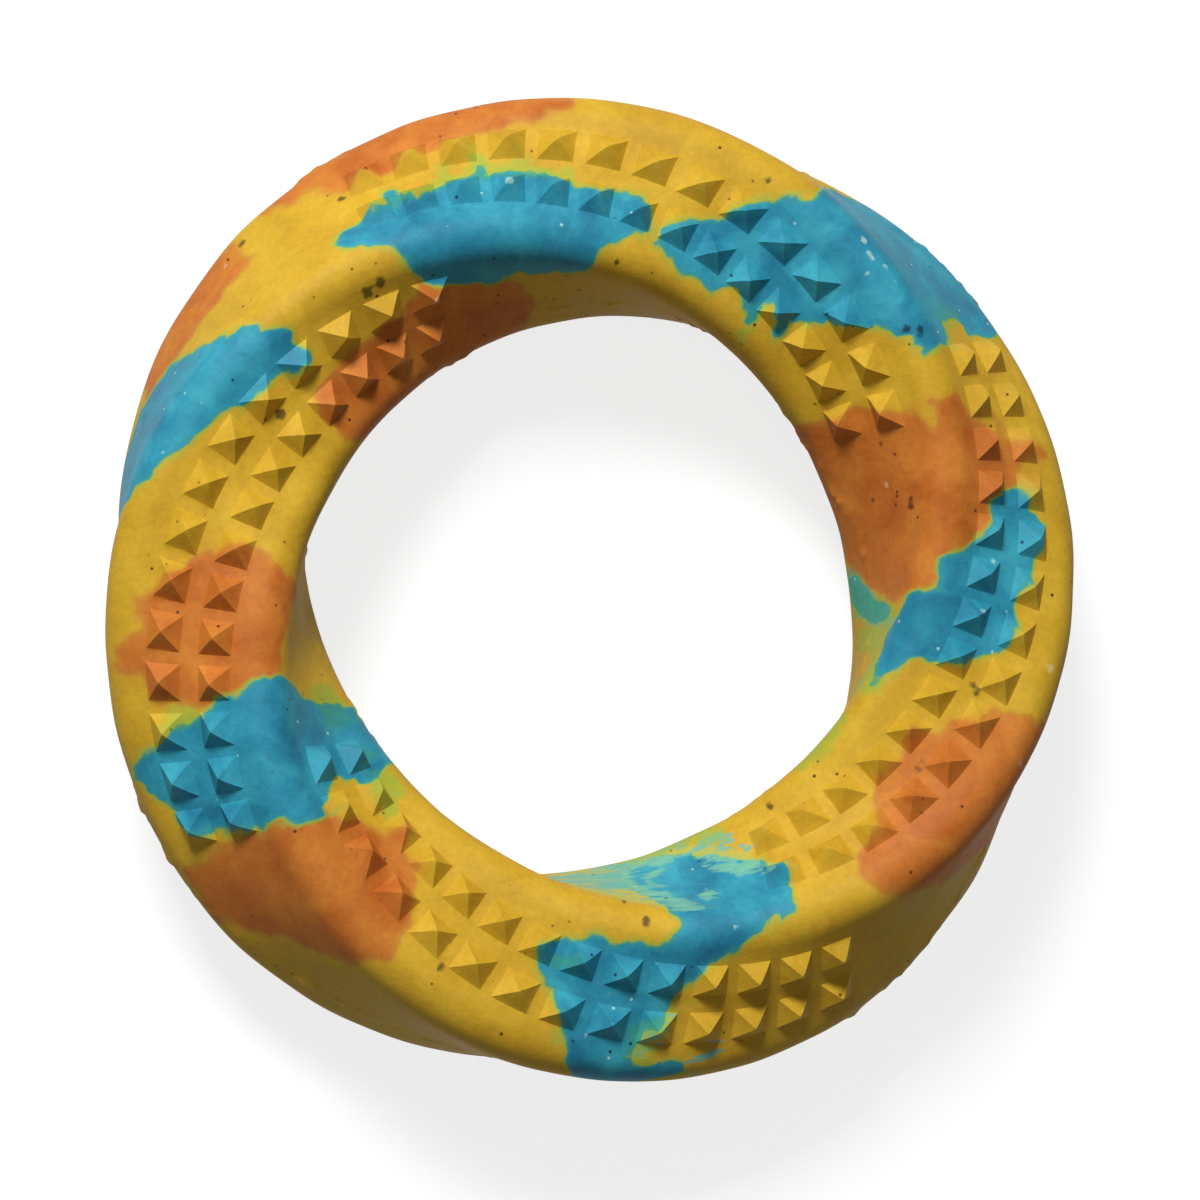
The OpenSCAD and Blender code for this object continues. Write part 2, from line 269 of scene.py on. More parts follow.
# How much of the flash is left: an even share, and waves of (share, length in millimetres)
FLASH_LEFT, FLASH_MOST = 0.35, 2.2
FLASH_WAVES = [(0.8, 5.0), (0.5, 1.8)]
CHANCE_SEED = 11
chance = np.random.default_rng(CHANCE_SEED)
ring_deg = bar_angles(points)[0]
from_bar = points - on_face(np.radians(ring_deg), 0 * ring_deg, 0, 0)
outwards = from_bar / np.linalg.norm(from_bar, axis=1, keepdims=True)
above_parting = points[:, 2] - BAR_MIDDLE
flash = FLASH_LEFT + sum(share * ripple(points, length) for share, length in FLASH_WAVES)
flash = np.clip(flash, 0, FLASH_MOST)
flash *= FLASH_H * np.exp(-(above_parting / FLASH_HALF) ** 2)
sunk = SHRINK_DEPTH * ripple(points, SHRINK_WAVE)
points = points + outwards * (flash + sunk - 2 * SHRINK_DEPTH)[:, None]

# Shading normals: faces that meet at less than the crease angle share them, the hips stay sharp
CREASE = math.cos(math.radians(32))
corners = points[triangles]
wide = np.cross(corners[:, 1] - corners[:, 0], corners[:, 2] - corners[:, 0])
flat = wide / np.linalg.norm(wide, axis=1, keepdims=True)
corner_order = np.argsort(triangles.ravel(), kind="stable")
corner_point = triangles.ravel()[corner_order]
corner_owner = corner_order // 3
point_start = np.searchsorted(corner_point, np.arange(len(points) + 1))
normal_sum = np.zeros((triangles.size, 3))
for step in range(int(np.diff(point_start).max())):
    other = point_start[corner_point] + step
    real = other < point_start[corner_point + 1]
    neighbour = corner_owner[np.minimum(other, len(corner_owner) - 1)]
    smooth = real & (np.einsum("ij,ij->i", flat[corner_owner], flat[neighbour]) > CREASE)
    normal_sum[corner_order[smooth]] += wide[neighbour[smooth]]
corner_normals = normal_sum / np.linalg.norm(normal_sum, axis=1, keepdims=True)
corner_normals = corner_normals.reshape(-1, 3, 3)


# The turquoise rubber
# Eleven blanks of uncured turquoise rubber, laid into the mould before it closes. Heat and
# pressure spread them thin over the yellow stock and cure them to it, so their edges wander
# and a little of each colour runs into the other.
# Each blank is a list of cross lines: ring angle, lower section angle, upper section angle.
TURQUOISE_BLANKS = {
    "turquoise_top": [
        (320.6, 17, 24), (322.5, 13, 30), (325, 5, 28), (326.7, -14, 27), (330, -29, 32),
        (333, -35, 24), (337.5, -40, 26), (341, -42, 25), (345, -41, 23), (349, -43, 19),
        (353, -44, 14), (356, -41, 7), (358.5, -27, 0), (362.5, -22, 5), (364.5, -21, 1),
        (366, -20, -6), (367.2, -19, -13),
    ],
    "turquoise_upper_right": [
        (8.2, -23, -15), (10, -29, -10), (14, -36, -7), (17.5, -38, 0), (20, -40, 15),
        (23, -37, 18), (27.5, -42, 24), (29, -42, 44), (31, -33, 84), (34, -44, 98),
        (37, -35, 104), (40, -26, 107), (43, -16, 108), (46, -5, 104), (49, -2, 100),
        (52.5, 2, 97), (54.4, 12, 94), (55.6, 60, 90), (57.6, 66, 84),
    ],
    "turquoise_right": [
        (75.8, 19, 31), (77.2, 9, 34), (79, 7, 35), (81.7, -2, 45), (83.2, -10, 38),
        (85, -24, 34), (88.2, -25, 29), (90, -27, 22), (91.2, -43, 20), (94, -49, 21),
        (97.5, -56, 16), (100, -60, 3), (101.8, -58, -8), (102.9, -57, -34), (106.8, -55, -49),
        (110, -56, -54),
    ],
    "turquoise_right_streak": [
        (86, -113, -102), (88.5, -114, -96), (90.5, -114.5, -87), (92.3, -112, -72),
        (93.4, -108, -60), (95, -100, -61), (95.8, -94, -72),
    ],
    "turquoise_lower_right": [
        (147.2, -36, -28), (149, -43, -18), (151, -54, -8), (154, -66, -7), (158, -78, -5),
        (161, -86, -2), (164, -92, -4), (167, -95, -14), (169, -96, -24), (171.5, -95, -46),
        (174, -92, -62),
    ],
    "turquoise_bottom": [
        (161, -8, -3), (164, -20, 1), (167, -22, 4), (169, -19, 10), (171, -16, 19),
        (172.5, -14, 28), (175, -15, 33), (177.3, -16, 44), (178.5, -17, 70), (181.5, -19, 80),
        (184, -20, 58), (186, -21, 42), (187.4, -20.5, 20), (189, -17, 7), (190, -15, 3),
        (191.3, -10, -4),
    ],
    "turquoise_lower_left": [
        (229.5, -76, -66), (230.8, -82, -8), (232.3, -86, 3), (234, -88, 8), (235.8, -90, 30),
        (238, -91, 51), (240, -89, 64), (243, -88, 68), (245.5, -80, 72), (247.5, -57, 76),
        (248.6, -48, 74), (250.2, -40, 56), (251.2, -34, 38), (252.6, -29, 14), (254.3, -22, -8),
    ],
    "turquoise_upper_left": [
        (278, 56, 112), (280, 50, 120), (283, 40, 122), (286, 31, 118), (289, 25, 110),
        (292.5, 17, 100), (295, 8, 89), (297.5, 4, 78), (299, 1, 52), (301, -3, 39),
        (303, -8, 33), (305, -9, 24), (306.8, -5, 8),
    ],
    "turquoise_back_top": [
        (338, 150, 168), (343, 141, 186), (349, 138, 202), (355, 141, 214), (361, 150, 219),
        (367.5, 166, 216), (372.5, 182, 205),
    ],
    "turquoise_back_right": [
        (100, 196, 208), (105, 172, 214), (110, 152, 216), (116, 138, 212), (122.5, 134, 198),
        (127.5, 138, 178), (131, 146, 160),
    ],
    "turquoise_back_left": [
        (256, 160, 172), (260, 148, 196), (265, 140, 216), (271, 144, 232), (277.5, 158, 238),
        (283, 178, 236), (287.5, 198, 222),
    ],
}
# Narrow tongues of turquoise that reach on from a blank, and yellow gaps that cut into one
TURQUOISE_TONGUES = [
    ("turquoise_top", [(328.6, 27), (329.6, 40), (330.8, 37), (331.4, 27)]),
    ("turquoise_top", [(341.4, 23), (342.2, 35), (343.2, 35), (344, 22)]),
    ("turquoise_bottom", [
        (178, 48), (175, 53), (170.5, 55), (170, 62), (174, 65), (178.5, 67), (180.5, 60),
    ]),
    ("turquoise_upper_right", [(27.5, -39), (28.3, -47), (29.6, -48), (30.3, -33)]),
    ("turquoise_upper_right", [(33, -40), (33.6, -49), (35.4, -50), (36.2, -36)]),
]
YELLOW_GAPS = [
    [(57, 57), (53.5, 52.5), (52.6, 44), (52.6, 32), (54.8, 20), (58, 30)],
    [(230, -12), (232.3, -14), (233.8, -28), (234.2, -40), (232.6, -50), (229, -48)],
]
# Thin films that the turquoise left where the flowing rubber dragged it along: pale where it was
# wiped thin, teal where more of it stayed, green where it mixed with the yellow
PALE_FILMS = [
    [
        (146.3, -30), (149, -47), (151.5, -62), (155, -80), (162, -97), (170, -106), (180, -112),
        (188.5, -110), (189, -80), (188, -56), (183, -47), (175, -42), (170, -33), (167, -27),
        (163.5, -31), (168, -50), (172.5, -70), (172, -90), (166, -88), (160, -80), (156, -68),
        (153, -54), (150, -38),
    ],
    [(150.5, -40), (154, -46), (158, -58), (160, -72), (157, -74), (153, -62), (150, -50)],
    [(162, -30), (163.5, -38), (161, -52), (159.5, -56), (160.5, -40)],
    [(163, -86), (168, -84), (171, -76), (170.5, -62), (168.5, -58), (169, -72), (166, -80)],
]
TEAL_FILMS = [
    [
        (170, -44), (174, -52), (180, -58), (186, -66), (189, -78), (189, -106), (176, -110),
        (168, -101), (171, -90), (172, -72),
    ],
    [
        (84, -101), (88, -94), (90.5, -84), (92.5, -68), (94.5, -56), (98.5, -54), (98, -75),
        (96.5, -95), (93, -114), (84, -116),
    ],
    [(171.5, 28), (174, 28), (176.5, 34), (176.8, 42), (175, 46), (173.5, 40)],
    [(165.8, 54), (168.2, 54), (168.4, 61), (166, 61)],
    [
        (152, -66), (156, -82), (163, -92), (170, -100), (168, -106), (160, -98), (152, -82),
        (149, -66),
    ],
]
GREEN_FILMS = [
    [(85, -116), (89, -102), (91.5, -80), (94, -56), (96.5, -58), (97, -84), (94, -116)],
    [(152, -74), (158, -88), (166, -97), (174, -104), (172, -113), (160, -106), (151, -88)],
    [(92.5, -56), (94.5, -51), (98.5, -55), (97.5, -67), (95.5, -72)],
    [(116, -62), (121, -61), (128, -66), (131, -74), (124, -78), (116, -74)],
    [
        (97, -58), (102, -62), (107, -53), (110.5, -48), (111.5, -58), (110, -75), (111, -100),
        (108.5, -112), (107, -95), (107, -75), (103, -72), (101.5, -90), (102, -112), (97, -112),
        (96.5, -85),
    ],
    [(117, -60), (124, -61), (132, -70), (130, -82), (117, -76)],
    [
        (170.5, 27), (174, 25), (177.5, 32), (177.8, 42), (176, 50), (173, 50), (175, 42),
        (172.5, 36),
    ],
    [(185, -3), (188.5, -1), (189.5, -8), (187, -12), (184.5, -9)],
    [(50, 30), (51, 57), (53.5, 58), (53, 30)],
    [(28, -38), (30, -38), (30, -58), (28.5, -58)],
    [(223, -44), (229, -46), (231.5, -60), (230, -74), (224, -68), (222.5, -55)],
    [(232, -57), (236, -60), (236, -74), (232, -74)],
    [(242, -52), (246.5, -58), (250, -50), (250.5, -80), (246, -84), (241, -80)],
    [(250.5, 26), (253, 22), (254, 40), (251.5, 50)],
    [
        (327, 28), (329, 34), (330, 43), (331.5, 33), (334, 28), (336.5, 32), (338, 41), (339, 31),
        (341.5, 29), (343, 45), (344.5, 29), (347, 26), (348.5, 33), (350, 22), (353, 17),
        (354.5, 22), (356, 10), (350, 14), (344, 20), (336, 23), (330, 25),
    ],
]
# Dark smudges and pale rubbed spots: ring angle, section angle, radius in millimetres
SMUDGES = [
    (75, -38, 0.6), (73.8, -37, 0.4), (120, -14, 0.5), (118.6, -13, 0.4), (204, 15, 0.55),
    (49.2, 4, 0.5), (51, 8, 0.5), (50.4, 10, 0.4), (141, -72, 0.6), (174, -26, 0.65),
    (319.2, -7, 0.8), (321.6, -7, 0.7), (296.4, -13, 0.8), (105.4, 2, 0.55), (104.6, -2, 0.5),
    (325.5, 55, 0.45), (313.8, 87, 0.5), (72, -68, 0.4), (62.8, -45, 0.4), (177, -40, 0.4),
    (346.8, -75, 0.4), (350.2, -73, 0.35), (359.6, -80, 0.45), (340, -56, 0.35), (340, -64, 0.35),
    (1.2, -34, 0.45), (21.5, 26, 0.35),
]
RUBBED_SPOTS = [
    (345.5, 12.5, 0.45), (36.5, 23, 0.4), (38, 19, 0.35), (38.8, 18, 0.3), (41, 20, 0.35),
    (43.5, 16, 0.3), (39.5, 10, 0.3), (317.5, -52, 0.5), (328.2, -33, 0.55), (93.5, -3, 0.35),
    (86, 5, 0.4), (160, -12, 0.35), (183, 35, 0.3), (180, 12, 0.3), (70, -53, 0.5),
    (112.5, 36, 0.45), (99.8, 40, 0.5), (310.5, 87, 0.3),
]
# The yellow core, the usual distance of the skin from the bar's middle, and the depth that
# stands for all that is further from an edge
CORE_R, SKIN_R, FAR = 8.0, 13.5, 9.0
MM_PER_RING_DEGREE = RING_R * math.pi / 180
MM_PER_SECTION_DEGREE = SKIN_R * math.pi / 180


def on_core(places):
    """The places on the yellow core that lie under places on the skin."""
    ring, section = np.radians(bar_angles(places))
    return on_face(ring, section, CORE_R, 0 * ring)


def depth_inside(outline, ring, section):
    """How far points lie inside an outline, in millimetres along the skin. The outline is a list
    of cross lines, or of places as ring angle and section angle."""
    outline = np.array(outline, float)
    middle = (outline[:, 0].mean(), outline[:, 1:].mean())
    scale = np.array([MM_PER_RING_DEGREE, MM_PER_SECTION_DEGREE])
    if outline.shape[1] == 3:
        outline = np.concatenate([outline[:, :2], outline[::-1, ::2]])
    outline = outline * scale
    x = ((ring - middle[0] + 180) % 360 - 180 + middle[0]) * scale[0]
    y = ((section - middle[1] + 180) % 360 - 180 + middle[1]) * scale[1]
    low, high = outline.min(0) - FAR / 2, outline.max(0) + FAR / 2
    near = (x > low[0]) & (x < high[0]) & (y > low[1]) & (y < high[1])
    spots = np.stack([x[near], y[near]], -1)
    nearest = np.full(len(spots), FAR)
    within = np.zeros(len(spots), bool)
    for start, end in zip(outline, np.roll(outline, -1, 0)):
        edge = end - start
        share = np.clip((spots - start) @ edge / (edge @ edge), 0, 1)
        gap = np.linalg.norm(spots - start - share[:, None] * edge, axis=1)
        nearest = np.minimum(nearest, gap)
        crosses = (start[1] > spots[:, 1]) != (end[1] > spots[:, 1])
        if start[1] != end[1]:
            at = start[0] + (spots[:, 1] - start[1]) * edge[0] / edge[1]
            within ^= crosses & (spots[:, 0] < at)
    depth = np.full(len(ring), -FAR)
    depth[near] = np.where(within, nearest, -nearest)
    return depth


def deepest_in(outlines):
    """How far each point of the skin lies inside the nearest of some outlines."""
    ring, section = bar_angles(points)
    return np.max([depth_inside(outline, ring, section) for outline in outlines], axis=0)


def blank_depths(blanks, tongues, gaps, edge_waves):
    """For each point of the skin the blank in which it lies deepest, and how deep. Tongues of a
    blank reach out past its cross lines, and gaps are left free of every blank. The waves that
    make the edge wander are given as height and length."""
    depths = np.stack([
        deepest_in([lines] + [outline for owner, outline in tongues if owner == name])
        for name, lines in blanks.items()
    ])
    wander = sum(height * ripple(points, length) for height, length in edge_waves)
    return depths.argmax(0), np.minimum(depths.max(0), -deepest_in(gaps)) + wander


def deepest_spot(spots):
    """How far each point of the skin lies inside the nearest spot. A spot is a ring angle, a
    section angle and a radius in millimetres."""
    ring, section = bar_angles(points)
    depth = np.full(len(points), -FAR)
    for spot_ring, spot_section, radius in spots:
        along = ((ring - spot_ring + 180) % 360 - 180) * MM_PER_RING_DEGREE
        aside = (section - spot_section) * MM_PER_SECTION_DEGREE
        depth = np.maximum(depth, radius - np.hypot(along, aside))
    return depth


def split_skin(depth, carried):
    """Cuts the triangles of the skin where depth passes through zero. Returns the depth and the
    carried values for all points, the old number of each triangle, and which lie inside."""
    global points, triangles, corner_normals
    inside = depth > 0
    signs = inside[triangles]
    count = signs.sum(1)
    mixed = (count > 0) & (count < 3)
    whole = ~mixed
    lone_inside = count[mixed] == 1
    lone = np.where(lone_inside, signs[mixed].argmax(1), (~signs[mixed]).argmax(1))
    order = (lone[:, None] + np.arange(3)) % 3
    turned = np.take_along_axis(triangles[mixed], order, 1)
    normals = np.take_along_axis(corner_normals[mixed], order[:, :, None], 1)
    edges = np.concatenate([np.sort(turned[:, [0, other]], 1) for other in (1, 2)])
    edges, where = np.unique(edges, axis=0, return_inverse=True)
    b, c = where.reshape(2, -1) + len(points)
    share = depth[edges[:, 0]] / (depth[edges[:, 0]] - depth[edges[:, 1]])
    grown = []
    for values in (points, *carried):
        start, end = values[edges[:, 0]], values[edges[:, 1]]
        if values.dtype.kind == "f":
            at = share.reshape(-1, *[1] * (values.ndim - 1))
            between = start * (1 - at) + end * at
        else:
            between = np.where(inside[edges[:, 0]], start, end)
        grown.append(np.concatenate([values, between]))
    towards = depth[turned[:, :1]] / (depth[turned[:, :1]] - depth[turned[:, 1:]])
    normal_b = normals[:, 0] * (1 - towards[:, :1]) + normals[:, 1] * towards[:, :1]
    normal_c = normals[:, 0] * (1 - towards[:, 1:]) + normals[:, 2] * towards[:, 1:]
    a, d, e = turned.T
    parts = [(a, b, c), (b, d, e), (b, e, c)]
    part_normals = [
        (normals[:, 0], normal_b, normal_c),
        (normal_b, normals[:, 1], normals[:, 2]),
        (normal_b, normals[:, 2], normal_c),
    ]
    old = np.concatenate([np.flatnonzero(whole)] + [np.flatnonzero(mixed)] * 3)
    is_inside = np.concatenate([count[whole] == 3, lone_inside, ~lone_inside, ~lone_inside])
    triangles = np.concatenate([triangles[whole]] + [np.stack(part, 1) for part in parts])
    corner_normals = np.concatenate(
        [corner_normals[whole]] + [np.stack(part, 1) for part in part_normals]
    )
    points = grown[0]
    return np.concatenate([depth, np.zeros(len(edges))]), grown[1:], old, is_inside


def blank_of(inside, depth, blank):
    """The number of the blank that each triangle inside belongs to, and -1 for the others."""
    deepest = depth[triangles].argmax(1)[:, None]
    return np.where(inside, np.take_along_axis(blank[triangles], deepest, 1)[:, 0], -1)


def linear(hex_colour):
    """A colour written as sRGB hex, as the linear one that a shader takes."""
    shares = [int(hex_colour[i:i + 2], 16) / 255 for i in (1, 3, 5)]
    return (*[s / 12.92 if s <= 0.04045 else ((s + 0.055) / 1.055) ** 2.4 for s in shares], 1.0)


def add_node(tree, kind, inputs=None, **settings):
    """Adds a node with its settings, and with its inputs set or linked."""
    node = tree.nodes.new(kind)
    for key, value in settings.items():
        setattr(node, key, value)
    for key, value in (inputs or {}).items():
        if isinstance(value, bpy.types.NodeSocket):
            tree.links.new(value, node.inputs[key])
        else:
            node.inputs[key].default_value = value
    return node


# Sizes in millimetres: of the stirring and how far it drags the shades, of the swirls, of the
# filler's mottling, and of the grain that the mould's blasted steel leaves. The real grain is
# about a tenth of a millimetre, and is drawn coarser so that it shows.
STIR, STIR_DRAG, SWIRL, MOTTLE, GRAIN = 11.0, 14.0, 7.0, 0.8, 0.35
MOTTLE_SHADE, MOTTLE_LIGHT = 0.93, 1.06
RELIEF, RELIEF_STRENGTH, PIT_SHARE = 0.06, 0.6, 0.8
SMOOTHER, ROUGHER = 0.05, 0.07
# Share of a bit's radius within which it has its full colour
SPECK_CORE = 0.5
# A node's noise lies mostly between these
NOISE_LOW, NOISE_HIGH = 0.3, 0.7
RUBBER_IOR, RUBBER_SPECULAR = 1.52, 0.2


def moulded_rubber(name, shades, bleeds, specks, roughness):
    """Satin rubber from a steel mould, marbled in its own shades.
    shades: hex colours of the compound, from deep to light.
    bleeds: how another colour runs in near an edge, as (edge, waver in mm, lengths of the
    wavers along X, Y and Z in mm, [(mm inside that edge, share of the colour)], hex colour).
    specks: bits in the compound, as (spacing in mm, radius in mm, share of places, hex colour)."""
    material = bpy.data.materials.new(name)
    material.use_nodes = True
    tree = material.node_tree
    shader = tree.nodes["Principled BSDF"]
    own_place = add_node(tree, "ShaderNodeTexCoord").outputs["Object"]
    place = add_node(
        tree, "ShaderNodeVectorMath", {0: own_place, "Scale": 1 / MM}, operation="SCALE"
    ).outputs[0]
    # The compound is stirred before it is cut, so its shades are drawn out into swirls
    stir = add_node(
        tree, "ShaderNodeTexNoise", {"Vector": place, "Scale": 1 / STIR, "Detail": 2.0}
    ).outputs["Color"]
    stirred = add_node(
        tree, "ShaderNodeVectorMath", {0: stir, "Scale": STIR_DRAG}, operation="SCALE"
    ).outputs[0]
    stirred = add_node(
        tree, "ShaderNodeVectorMath", {0: place, 1: stirred}, operation="ADD"
    ).outputs[0]
    swirl = add_node(
        tree, "ShaderNodeTexNoise",
        {"Vector": stirred, "Scale": 1 / SWIRL, "Detail": 5.0, "Roughness": 0.55},
    ).outputs["Fac"]
    ramp = add_node(tree, "ShaderNodeValToRGB", {"Fac": swirl})
    stops = ramp.color_ramp.elements
    stops[0].position, stops[1].position = NOISE_LOW, NOISE_HIGH
    stops[0].color, stops[1].color = linear(shades[0]), linear(shades[2])
    stops.new(0.5).color = linear(shades[1])
    colour = ramp.outputs["Color"]
    mottle = add_node(
        tree, "ShaderNodeTexNoise", {"Vector": place, "Scale": 1 / MOTTLE, "Detail": 3.0}
    ).outputs["Fac"]
    mottle = add_node(
        tree, "ShaderNodeMapRange",
        {"Value": mottle, "From Min": NOISE_LOW, "From Max": NOISE_HIGH,
         "To Min": MOTTLE_SHADE, "To Max": MOTTLE_LIGHT},
    ).outputs[0]
    colour = add_node(
        tree, "ShaderNodeMix", {0: 1.0, 6: colour, 7: mottle}, data_type="RGBA",
        blend_type="MULTIPLY",
    ).outputs[2]
    for edge, waver, lengths, reach, bleed in bleeds:
        depth = add_node(tree, "ShaderNodeAttribute", attribute_name=edge).outputs["Fac"]
        waves = add_node(
            tree, "ShaderNodeVectorMath", {0: place, 1: lengths}, operation="DIVIDE"
        ).outputs[0]
        noise = add_node(
            tree, "ShaderNodeTexNoise",
            {"Vector": waves, "Scale": 1.0, "Detail": 3.0, "Roughness": 0.6},
        ).outputs["Fac"]
        # The noise is 0.5 on the whole, and this makes it a waver to both sides
        wander = add_node(
            tree, "ShaderNodeMath", {0: noise, 1: 4 * waver, 2: -2 * waver},
            operation="MULTIPLY_ADD",
        ).outputs[0]
        depth = add_node(tree, "ShaderNodeMath", {0: depth, 1: wander}, operation="ADD").outputs[0]
        lowest, highest = reach[0][0], reach[-1][0]
        depth = add_node(
            tree, "ShaderNodeMapRange", {"Value": depth, "From Min": lowest, "From Max": highest}
        ).outputs[0]
        ramp = add_node(tree, "ShaderNodeValToRGB", {"Fac": depth})
        stops = ramp.color_ramp.elements
        stops[0].color = (*[reach[0][1]] * 3, 1.0)
        stops[1].color = (*[reach[-1][1]] * 3, 1.0)
        for at, strength in reach[1:-1]:
            stops.new((at - lowest) / (highest - lowest)).color = (*[strength] * 3, 1.0)
        colour = add_node(
            tree, "ShaderNodeMix", {0: ramp.outputs["Color"], 6: colour, 7: linear(bleed)},
            data_type="RGBA",
        ).outputs[2]
    pits = None
    for spacing, radius, share, speck in specks:
        cells = add_node(
            tree, "ShaderNodeTexVoronoi",
            {"Vector": place, "Scale": 1 / spacing, "Randomness": 1.0},
        )
        chance_of = add_node(
            tree, "ShaderNodeSeparateColor", {0: cells.outputs["Color"]}
        ).outputs[0]
        spot = add_node(
            tree, "ShaderNodeMapRange",
            {"Value": cells.outputs["Distance"], "From Min": radius / spacing,
             "From Max": SPECK_CORE * radius / spacing},
        ).outputs[0]
        picked = add_node(
            tree, "ShaderNodeMath", {0: chance_of, 1: share}, operation="LESS_THAN"
        ).outputs[0]
        spot = add_node(
            tree, "ShaderNodeMath", {0: spot, 1: picked}, operation="MULTIPLY"
        ).outputs[0]
        colour = add_node(
            tree, "ShaderNodeMix", {0: spot, 6: colour, 7: linear(speck)}, data_type="RGBA"
        ).outputs[2]
        pits = spot if pits is None else add_node(
            tree, "ShaderNodeMath", {0: pits, 1: spot}, operation="MAXIMUM"
        ).outputs[0]
    tree.links.new(colour, shader.inputs["Base Color"])
    # Bits in the rubber leave shallow pits in the grain
    grain = add_node(
        tree, "ShaderNodeTexNoise", {"Vector": place, "Scale": 1 / GRAIN, "Detail": 3.0}
    ).outputs["Fac"]
    relief = add_node(
        tree, "ShaderNodeMath", {0: pits, 1: -PIT_SHARE, 2: grain}, operation="MULTIPLY_ADD"
    ).outputs[0]
    bump = add_node(
        tree, "ShaderNodeBump",
        {"Height": relief, "Strength": RELIEF_STRENGTH, "Distance": RELIEF * MM},
    ).outputs[0]
    tree.links.new(bump, shader.inputs["Normal"])
    worn = add_node(
        tree, "ShaderNodeMapRange",
        {"Value": swirl, "From Min": NOISE_LOW, "From Max": NOISE_HIGH,
         "To Min": roughness - SMOOTHER, "To Max": roughness + ROUGHER},
    ).outputs[0]
    tree.links.new(worn, shader.inputs["Roughness"])
    shader.inputs["IOR"].default_value = RUBBER_IOR
    shader.inputs["Specular IOR Level"].default_value = RUBBER_SPECULAR
    return material


def add_piece(name, outer, material, edges, pockets=None):
    """Makes one closed piece of rubber: its part of the skin, walls down to the core, and its
    underside on the core. The yellow body has pockets for the other colours instead."""
    used, local = np.unique(triangles[outer], return_inverse=True)
    local = local.reshape(-1, 3)
    count = len(used)
    sides = np.concatenate([local[:, [0, 1]], local[:, [1, 2]], local[:, [2, 0]]])
    codes = sides[:, 0] * count + sides[:, 1]
    border = sides[~np.isin(codes, sides[:, 1] * count + sides[:, 0])]
    if pockets is None:
        below, floor_faces = used, local[:, ::-1] + count
        twin = np.arange(count) + count
    else:
        below, floor_faces = np.unique(triangles[pockets], return_inverse=True)
        floor_faces = floor_faces.reshape(-1, 3) + count
        twin = np.searchsorted(below, used) + count
    a, b = border.T
    walls = np.concatenate([np.stack([b, a, twin[a]], 1), np.stack([b, twin[a], twin[b]], 1)])
    places = np.concatenate([points[used], on_core(points[below])])
    faces = np.concatenate([local, floor_faces, walls])
    mesh = bpy.data.meshes.new(name)
    mesh.from_pydata((places * MM).tolist(), [], faces.tolist())
    corners = places[faces[len(local):]]
    unseen = np.cross(corners[:, 1] - corners[:, 0], corners[:, 2] - corners[:, 0])
    normals = np.concatenate([corner_normals[outer], np.repeat(unseen[:, None], 3, 1)])
    normals /= np.maximum(np.linalg.norm(normals, axis=2, keepdims=True), 1e-12)
    mesh.shade_smooth()
    mesh.normals_split_custom_set(normals.reshape(-1, 3).tolist())
    sources = np.concatenate([used, below])
    for edge, depth in edges.items():
        layer = mesh.attributes.new(edge, "FLOAT", "POINT")
        layer.data.foreach_set("value", depth[sources].astype(np.float32))
    mesh.materials.append(material)
    piece = bpy.data.objects.new(name + "_rubber", mesh)
    bpy.context.scene.collection.objects.link(piece)
    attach(piece, "root")
    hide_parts(name)


# Sizes of the wavers along X, Y and Z, in millimetres
FRINGE, BLOTCHES, STREAKS = (1.2, 1.2, 1.2), (2.2, 1.3, 1.3), (6.0, 1.2, 1.2)
TURQUOISE_EDGE_WAVES = [(0.25, 5.0), (0.16, 1.9)]
# No part of a film counts as deeper than this, so that it is streaky in its middle too
FILM_DEPTH = 0.9
MARKS = ("pale_mm", "teal_mm", "green_mm", "smudge_mm", "rubbed_mm")

# Turquoise compound: a satin blue-green with pale and dark bits. Where it meets yellow its edge
# turns green over half a millimetre.
turquoise_rubber = moulded_rubber(
    "turquoise_rubber_moulded_satin",
    shades=("#227695", "#2E92AC", "#3FAABD"),
    bleeds=[
        ("turquoise_mm", 0.1, FRINGE, [(0.0, 1.0), (0.15, 0.8), (0.7, 0.0)], "#3E9E8E"),
        ("turquoise_mm", 0.12, FRINGE, [(0.0, 0.9), (0.25, 0.0)], "#9DAE45"),
        ("teal_mm", 0.8, STREAKS, [(-0.3, 0.0), (0.4, 0.5), (1.0, 0.8)], "#55AE9C"),
        ("pale_mm", 2.0, STREAKS, [(-0.2, 0.0), (0.3, 0.5), (1.6, 0.8)], "#84C7A0"),
        ("green_mm", 1.0, BLOTCHES, [(-0.4, 0.0), (0.5, 0.45), (1.6, 0.7)], "#3F9F78"),
        ("smudge_mm", 0.15, FRINGE, [(-0.2, 0.0), (0.15, 0.85)], "#0E2C3C"),
        ("rubbed_mm", 0.2, FRINGE, [(-0.15, 0.0), (0.1, 0.65)], "#B9DDD8"),
    ],
    specks=[(2.4, 0.28, 0.3, "#A9D6CF"), (2.6, 0.3, 0.3, "#123F55")],
    roughness=0.55,
)
turquoise_blank, turquoise_depth = blank_depths(
    TURQUOISE_BLANKS, TURQUOISE_TONGUES, YELLOW_GAPS, TURQUOISE_EDGE_WAVES
)
marks = [
    np.minimum(deepest_in(films), FILM_DEPTH) for films in (PALE_FILMS, TEAL_FILMS, GREEN_FILMS)
]
marks += [deepest_spot(spots) for spots in (SMUDGES, RUBBED_SPOTS)]
turquoise_depth, (turquoise_blank, *marks), _, in_turquoise = split_skin(
    turquoise_depth, [turquoise_blank, *marks]
)
turquoise_of = blank_of(in_turquoise, turquoise_depth, turquoise_blank)
for number, name in enumerate(TURQUOISE_BLANKS):
    add_piece(
        name, turquoise_of == number, turquoise_rubber,
        {"turquoise_mm": turquoise_depth, **dict(zip(MARKS, marks))},
    )


